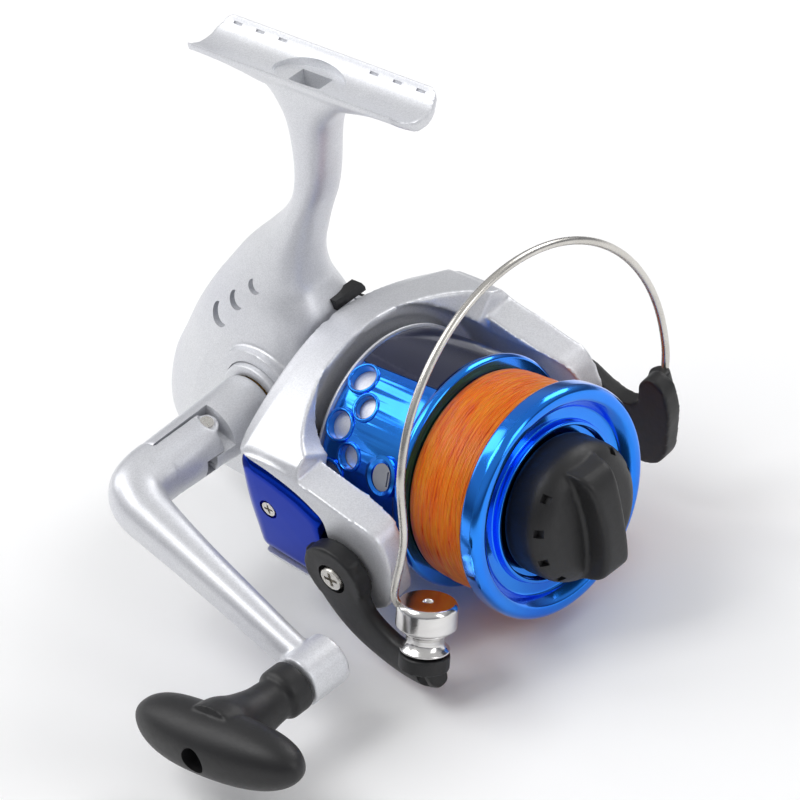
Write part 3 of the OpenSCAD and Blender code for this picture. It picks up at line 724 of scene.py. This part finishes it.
def bail_holder_piece():
    outline = rounded(
        [(13.6, -3), (14.5, 1.6), (20, 5.0), (27, 1.5), (36, -4.4), (42, -3.5), (44, 3.4), (47.5, 6),
         (51.2, 3.5), (51, -3), (46.5, -16), (42, -20.0), (36, -20.2), (28, -15.5), (17, -10.2)],
        3.2, closed=True, steps=6,
    )
    root = (46, 37.6, -4.5)
    parts = [
        prism("plate", outline, 33.85, 37.7, ON_ROTOR),
        rod("socket", root, (46, 38.6, 4.0), 3.0, ON_ROTOR, 48, r2=2.2),
        ball("socket_end", root, 3.0, ON_ROTOR),
    ]
    o = melted(parts, "bail_holder_body", 0.36, 7)
    boolean(o, at_pivot("sink", 42, 36.5, SCREW_SINK))
    boolean(o, at_pivot("hole", 42, 30, PIVOT_HOLE))
    finish_piece(o, "bail", "black_plastic", ["bail_holder"], 40)


def bail_wire_piece():
    """From its socket the wire goes over the spool on an arc, then down and in to the roller."""
    centre_y, centre_z, r, thick = 3.5, 15.7, 39, 0.85
    pts = [(46, 38.2, -2.5), (46, 38.8, 0)]
    for a in range(-14, 167, 8):
        t = math.radians(a)
        pts.append((46, centre_y + r * math.cos(t), centre_z + r * math.sin(t)))
    pts += [
        (45.0, -35.2, 17), (43.6, -36.4, 11), (42.0, -37.6, 6), (40.4, -38.2, 1.5),
        (39.6, -37.4, -2.2), (40.4, -35.8, -5.6),
    ]
    path = spline(pts, 260)
    o = swept("bail_wire_round", path, [(thick, thick)] * len(path), ON_ROTOR, up=(1, 0.02, 0), n=20)
    finish_piece(o, "bail", "steel", ["bail_wire"], 60)


def roller_pieces():
    cap = turned(
        "roller_cap_top",
        rounded(
            [(-5.6, 1.2), (-5.6, 5.9), (-5.2, 6.3), (-0.9, 6.3), (0.0, 5.6), (-0.02, 1.1), (-0.5, 0.9),
             (-0.5, 0.0), (-1.5, 0.0), (-1.5, 1.2)],
            [0, 0.3, 0.3, 0.7, 0.3, 0.2, 0, 0, 0, 0], closed=True,
        ),
        ON_ROLLER, along="Z",
    )
    pin = rod("roller_pin", (0, 0, -15.3), (0, 0, -1.2), 1.5, ON_ROLLER)
    finish_piece(joined([cap, pin], "roller_cap_body"), "bail", "polished_steel", ["roller_cap"], 40)
    roll = turned(
        "line_roller_body",
        rounded(
            [(-10.9, 2.6), (-10.9, 4.8), (-10.4, 5.2), (-9.5, 4.3), (-8.6, 3.8), (-7.4, 4.0), (-6.3, 4.9),
             (-5.95, 4.8), (-5.95, 2.6)],
            0.35, closed=True,
        ),
        ON_ROLLER, along="Z",
    )
    finish_piece(roll, "line_roller", "polished_steel", ["line_roller"], 40)


# ---------------------------------------------------------------- handle
def handle_shaft_piece():
    """A tapered round bar whose outer half is cut down to a long tongue beside the fold."""
    shaft = turned(
        "handle_shaft_body",
        rounded(
            [(-43, 0), (-43, 5.9), (-42.2, 6.4), (-16.6, 7.3), (-15.4, 6.9), (-15.4, 0)],
            [0, 0.6, 0.6, 0.8, 0.5, 0],
        ),
        ON_HANDLE, along="Y",
    )
    boolean(shaft, block("cut", (-2.6, -46, 2.0), (12, -27.2, 10), ON_HANDLE))
    boolean(shaft, block("cut", (-2.6, -46, -10), (12, -27.2, -2.0), ON_HANDLE))
    boolean(shaft, block("cut", (-2.6, -46, -3), (12, -32.5, 3), ON_HANDLE))
    boolean(shaft, rod("bore", (0, -23, 0), (0, -10, 0), 2.2, ON_HANDLE))
    bevelled(shaft, 0.0004)
    finish_piece(shaft, "handle", "silver_paint", ["handle_shaft"], 45)


def handle_arm_piece():
    """The crank arm: a round root hinged on the shaft's tongue, then a bar bent outwards to the knob."""
    hinge = (0.6, -30.2)
    root = rod("root", (0, -46, 0), (0, -30.0, 0), 6.35, ON_HANDLE, 96, r2=6.75)
    boolean(root, block("cut", (-12, -60, -10), (-2.1, -20, 10), ON_HANDLE))
    boolean(root, rod("cut", (hinge[0], -28.2, -10), (hinge[0], -28.2, 10), 3.2, ON_HANDLE, 64))
    knuckle = rod("knuckle", (*hinge, -5.7), (*hinge, 5.7), 2.6, ON_HANDLE, 64)
    path = spline(
        [(0, -42.8, 0), (0.1, -46.5, 0), (1.2, -50.2, 0), (4.6, -52.4, 0), (10, -53.2, 0), (22, -54.2, 0),
         (38, -55.4, 0), (50, -56.3, 0), (57, -56.6, 0)],
        70,
    )
    sizes = spline(
        [(6.3, 6.3), (6.2, 6.2), (6.0, 6.0), (5.6, 5.6), (5.1, 5.2), (4.3, 4.6), (3.7, 4.2), (3.3, 4.0),
         (3.2, 4.0)],
        70,
    )
    arm = swept("bar", path, sizes, ON_HANDLE, n=48, power=2.3)
    boss = rod("boss", (CRANK, -61.4, 0), (CRANK, -51.6, 0), 5.6, ON_HANDLE, 96)
    o = melted([root, knuckle, arm, boss], "handle_arm_body", 0.36, 5)
    boolean(o, block("tongue_room", (-4, -35.2, -2.3), (12, -20, 2.3), ON_HANDLE))
    boolean(o, rod("bore", (CRANK, -70, 0), (CRANK, -40, 0), 2.1, ON_HANDLE))
    finish_piece(o, "arm", "silver_paint", ["handle_arm"], 40)


def knob_piece():
    """A bar flat towards the crank and bulging away from it, on a collared neck."""
    half_length, mid = 22.9, -83.4
    rings = []
    for i in range(1, 60):
        x = half_length * math.sin((i / 30 - 1) * math.pi / 2)
        u = abs(x) / (half_length + 0.05)
        deep, near, tall = (max(0.0, 1 - u**e) ** 0.5 for e in (2.1, 5, 3))
        ring = []
        for a in turns(56):
            c = math.cos(a)
            reach = 7.9 * deep if c < 0 else 5.6 * near
            ring.append((x, mid + reach * bent(c, 0.9), 6.9 * tall * bent(math.sin(a), 0.88)))
        rings.append(ring)
    neck = turned(
        "neck",
        rounded(
            [(-84, 0), (-84, 8.6), (-80, 8.2), (-76.5, 6.3), (-72, 4.9), (-67.4, 4.5), (-66.6, 5.5),
             (-62.0, 5.5), (-62.0, 0)],
            [0, 0, 1.5, 1.5, 1.5, 0.5, 0.5, 0.5, 0],
        ),
        ON_KNOB, along="Y",
    )
    o = melted([lofted("bar", rings, ON_KNOB), neck], "knob_body", 0.42, 6)
    boolean(o, rod("end_hole", (0, -100, 0), (0, -84.6, 0), 2.9, ON_KNOB, 64))
    boolean(o, rod("bore", (0, -90, 0), (0, -50, 0), 2.1, ON_KNOB))
    finish_piece(o, "knob", "black_plastic", ["handle_knob"], 40)


# ---------------------------------------------------------------- spool, line and drag knob
def hole_rim(place, x, r):
    """The raised edge of a round hole through the skirt."""
    section = rounded(
        [(23.4, r), (23.4, r + 0.75), (24.05 + 0.02 * (x - 9.4), r + 0.75), (24.3, r + 0.35), (24.1, r)],
        0.15, closed=True,
    )
    return turned("rim", section, place @ Matrix.Translation((x, 0, 0)), 40, "Z")


def clip_rim():
    """The raised bead round the line clip, a section of (reach, height) carried round an oval."""
    n = 64
    section = ((3.3, 23.9), (3.5, 24.7), (2.9, 24.95), (2.3, 24.7), (2.3, 23.9))
    verts, faces = [], []
    for reach, z in section:
        for t in turns(n):
            x = CLIP_X + 1.15 * reach * math.cos(t) * (1 - 0.12 * math.cos(t))
            verts.append((x, 1.3 * reach * math.sin(t), z))
    for i in range(len(section)):
        here, ahead = i * n, (i + 1) % len(section) * n
        for k in range(n):
            faces.append((here + k, here + (k + 1) % n, ahead + (k + 1) % n, ahead + k))
    return mesh_object("clip_rim", verts, faces, ON_CLIP)


def clip_piece():
    oval = [(CLIP_X + 2.53 * math.cos(t), 2.9 * math.sin(t)) for t in turns(48)]
    rings = [[(min(x, CLIP_X + 2), y, z) for x, y in oval] for z in (24.0, 24.62)]
    plate = lofted("line_clip_face", rings, ON_CLIP)
    boolean(plate, block("slit", (25.9, -1.6, 20), (26.3, 1.6, 30), ON_CLIP))
    finish_piece(plate, "spool", "grey_plastic", ["line_clip"], 40)


def spool_piece():
    section = [
        (33, 2.1), (33, 14.5), (28.4, 14.5), (28.4, 22.9), (6.5, 22.2), (6.5, 23.5), (8.2, 23.7),
        (27.8, 24.2), (28.5, 24.9), (29.4, 25.0), (30.2, 24.5), (30.2, ARBOR), (46.6, ARBOR),
        (46.6, 24.4), (47.2, 25), (50.4, 25), (51.6, 24.0), (51.6, 22.0), (50.0, 20.7), (48.9, 20.0),
        (48.9, 17.4), (50.6, 17.2), (50.6, 16.4), (48.8, 16.2), (48.8, 13.2), (40.5, 13.2), (40.5, 2.1),
    ]
    corners = [
        0, 1, 0.5, 0.5, 0.3, 0.4, 0.6,
        0.8, 0.5, 0.4, 0.4, 0.3, 0.3,
        0.3, 0.4, 1.0, 0.8, 0.6, 0.8, 0.5,
        0.3, 0.3, 0.3, 0.3, 0.3, 0.3, 0,
    ]
    o = turned("spool_body", rounded(section, corners, closed=True), n=216)
    rims = []
    for i in range(10):
        pair = [(i * HOLE_STEP + 24, 9.9, 2.9), (i * HOLE_STEP + 37, 14.4, 2.45)]
        # the last large hole stands alone beside the clip
        for turn, x, r in pair[:1] if i == 9 else pair:
            place = ON_AXIS @ Matrix.Rotation(math.radians(turn), 4, "X")
            rims.append(hole_rim(place, x, r))
            boolean(o, rod("hole", (x, 0, 20), (x, 0, 27), r, place, 40))
    rims.append(clip_rim())
    clip_piece()
    bevelled(o, 0.00025, 50, 2)
    finish_piece(joined([o] + rims, "spool_body_round"), "spool", "blue_metal", ["spool"], 35)


def liner_piece():
    """The pale sleeve inside the skirt, seen through its holes and behind its edge."""
    liner = turned(
        "skirt_liner",
        rounded(
            [(5.7, 22.6), (5.7, 24.3), (6.45, 24.5), (6.45, 22.15), (28.3, 22.15), (28.3, 21.5), (6.2, 21.5)],
            0.3, closed=True,
        ),
    )
    finish_piece(liner, "spool", "silver_paint")


def line_piece():
    """The wound line: a low crown with a ripple along it, and slow waves round it."""
    rear, front = LINE_SPAN
    core = ARBOR + 0.05
    profile = [(rear, core), (front, core)]
    for i in range(81):
        crown = 0.35 * math.sin(math.pi * i / 80) - 0.5 * abs(i / 40 - 1) ** 10
        ripple = 0.05 * math.sin(i * 2.1) + 0.04 * math.sin(i * 0.83)
        profile.append((front - i * (front - rear) / 80, 22.35 + crown + ripple))
    wound = turned("wound_line", profile, n=180)
    axis_z = -AXIS_DROP / 1000
    for v in wound.data.vertices:
        x, y, z = v.co
        a = math.atan2(z - axis_z, y)
        r = math.hypot(y, z - axis_z)
        if r > (ARBOR + 2) / 1000:
            r *= 1 + 0.0016 * math.sin(5 * a + x * 900) + 0.001 * math.sin(11 * a - x * 1500)
            v.co = (x, r * math.cos(a), r * math.sin(a) + axis_z)
    finish_piece(wound, "spool", "orange_line", ["line"], 60)


def drag_knob_piece():
    """A low dome with a grip across it and notches round its shoulder."""
    dome = turned(
        "dome",
        rounded(
            [(49.4, 5.3), (49.4, 14.4), (50.2, 15), (56.6, 15), (58.6, 13.9), (60.2, 11.8), (61.0, 6),
             (61.2, 0), (55, 0), (54.6, 5.3)],
            [0, 0.6, 0.5, 1.0, 1.0, 1.2, 2, 0, 0, 0], closed=True,
        ),
        n=180,
    )
    foot = 56
    rings = []
    for i in range(41):
        t = -1 + 2 * i / 40
        half = 3.0 + t * t
        top = 66.6 - 2.0 * t * t
        rise = 0.35 + 0.65 * math.sqrt(max(0.0, 1 - abs(t) ** 10))
        outline = [(-half - 0.8, foot), (-half, top), (half, top), (half + 0.8, foot)]
        section = rounded(outline, 1.1, closed=True)
        rings.append([(foot + (x - foot) * rise, y, 13.2 * t) for y, x in section])
    o = melted([dome, lofted("grip", rings)], "drag_knob_body", 0.36, 4)
    for i in range(12):
        a = math.radians(i * 30 + 15)
        # no notch where the grip's ends are
        if abs(math.sin(a)) > 0.93:
            continue
        place = ON_AXIS @ Matrix.Rotation(a, 4, "X")
        boolean(o, block("notch", (57.4, 13.2, -0.9), (62, 16, 0.9), place))
    finish_piece(o, "drag_knob", "black_plastic", ["drag_knob"], 40)


housing()
rotor_piece()
arm_cover("near_cover_skin", "near_arm_cover", -1)
arm_cover("far_cover_skin", "far_arm_cover", 1)
bail_arm_piece()
bail_holder_piece()
bail_wire_piece()
roller_pieces()
handle_shaft_piece()
handle_arm_piece()
knob_piece()
spool_piece()
liner_piece()
line_piece()
drag_knob_piece()

# ---------------------------------------------------------------- CAD pieces that keep their own shape
for s in frame["record"]["subparts"]:
    node = frame["nodes"][s["node"]]
    node.data.materials.clear()
    node.data.materials.append(MAT[s["material_slot"]])
    if not node.hide_render:
        edge_bevel(node, 0.00012, 2, 40)

# ---------------------------------------------------------------- floor, light and camera
FLOOR_HALF = 3.0
FLOOR_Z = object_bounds()[0][2] - 0.002
me = bpy.data.meshes.new("floor")
me.from_pydata(
    [(x * FLOOR_HALF, y * FLOOR_HALF, FLOOR_Z) for x, y in ((-1, -1), (1, -1), (1, 1), (-1, 1))],
    [], [(0, 1, 2, 3)],
)
floor = bpy.data.objects.new("floor", me)
bpy.context.scene.collection.objects.link(floor)
m, nt, bsdf, c = new_material("floor_paper", 0.0, 0.75)
paper = ramp(nt, noise(nt, c.outputs["Object"], 3, 2), [(0.3, (0.93, 0.93, 0.93)), (0.7, (0.96, 0.96, 0.96))])
nt.links.new(paper, bsdf.inputs["Base Color"])
me.materials.append(m)

world = bpy.data.worlds.new("studio")
bpy.context.scene.world = world
world.use_nodes = True
wn = world.node_tree
sky = wn.nodes["Background"]
wc = wn.nodes.new("ShaderNodeTexCoord")
sep = wn.nodes.new("ShaderNodeSeparateXYZ")
wn.links.new(wc.outputs["Generated"], sep.inputs["Vector"])
height = spread(wn, sep.outputs["Z"], 0.0, 1.0)
height.node.inputs["From Min"].default_value = -1
# pale below, a dark band at eye level for the metal to mirror, and white above
grad = ramp(
    wn, height,
    [(0.45, (0.75, 0.76, 0.8)), (0.56, (0.22, 0.23, 0.27)), (0.72, (0.9, 0.9, 0.92)), (1.0, (1.0, 1.0, 1.0))],
)
wn.links.new(grad, sky.inputs["Color"])
sky.inputs["Strength"].default_value = 0.55

MIDDLE = Vector((0.01, -0.02, -0.07))


def area(name, at, wide, tall, watts):
    """A soft light aimed at the middle of the reel."""
    light = bpy.data.lights.new(name, "AREA")
    light.shape = "RECTANGLE"
    light.size, light.size_y = wide, tall
    light.energy = watts
    o = bpy.data.objects.new(name, light)
    o.location = at
    o.rotation_euler = (MIDDLE - Vector(at)).to_track_quat("-Z", "Y").to_euler()
    bpy.context.scene.collection.objects.link(o)


area("key", (-0.25, -0.45, 0.8), 0.45, 0.45, 3.2)
area("side", (-0.65, -0.2, 0.4), 0.3, 0.7, 1.8)
area("rim", (0.1, 0.7, 0.5), 0.5, 0.4, 2.6)
area("front", (0.8, 0.15, 0.25), 0.25, 0.5, 1.2)

# The columns are the camera's right, up and back, and its place, in metres.
cam = bpy.data.cameras.new("camera")
cam_o = bpy.data.objects.new("camera", cam)
cam_o.matrix_world = Matrix(
    (
        (0.71789, -0.29828, 0.62901, 0.776115),
        (0.67953, 0.49651, -0.54011, -0.659119),
        (-0.15121, 0.81517, 0.55913, 0.692365 - AXIS_DROP / 1000),
        (0, 0, 0, 1),
    )
)
cam.sensor_width = 36
cam.lens = 268
cam.clip_end = 20
bpy.context.scene.collection.objects.link(cam_o)
bpy.context.scene.camera = cam_o
bpy.context.scene.view_settings.view_transform = "Standard"
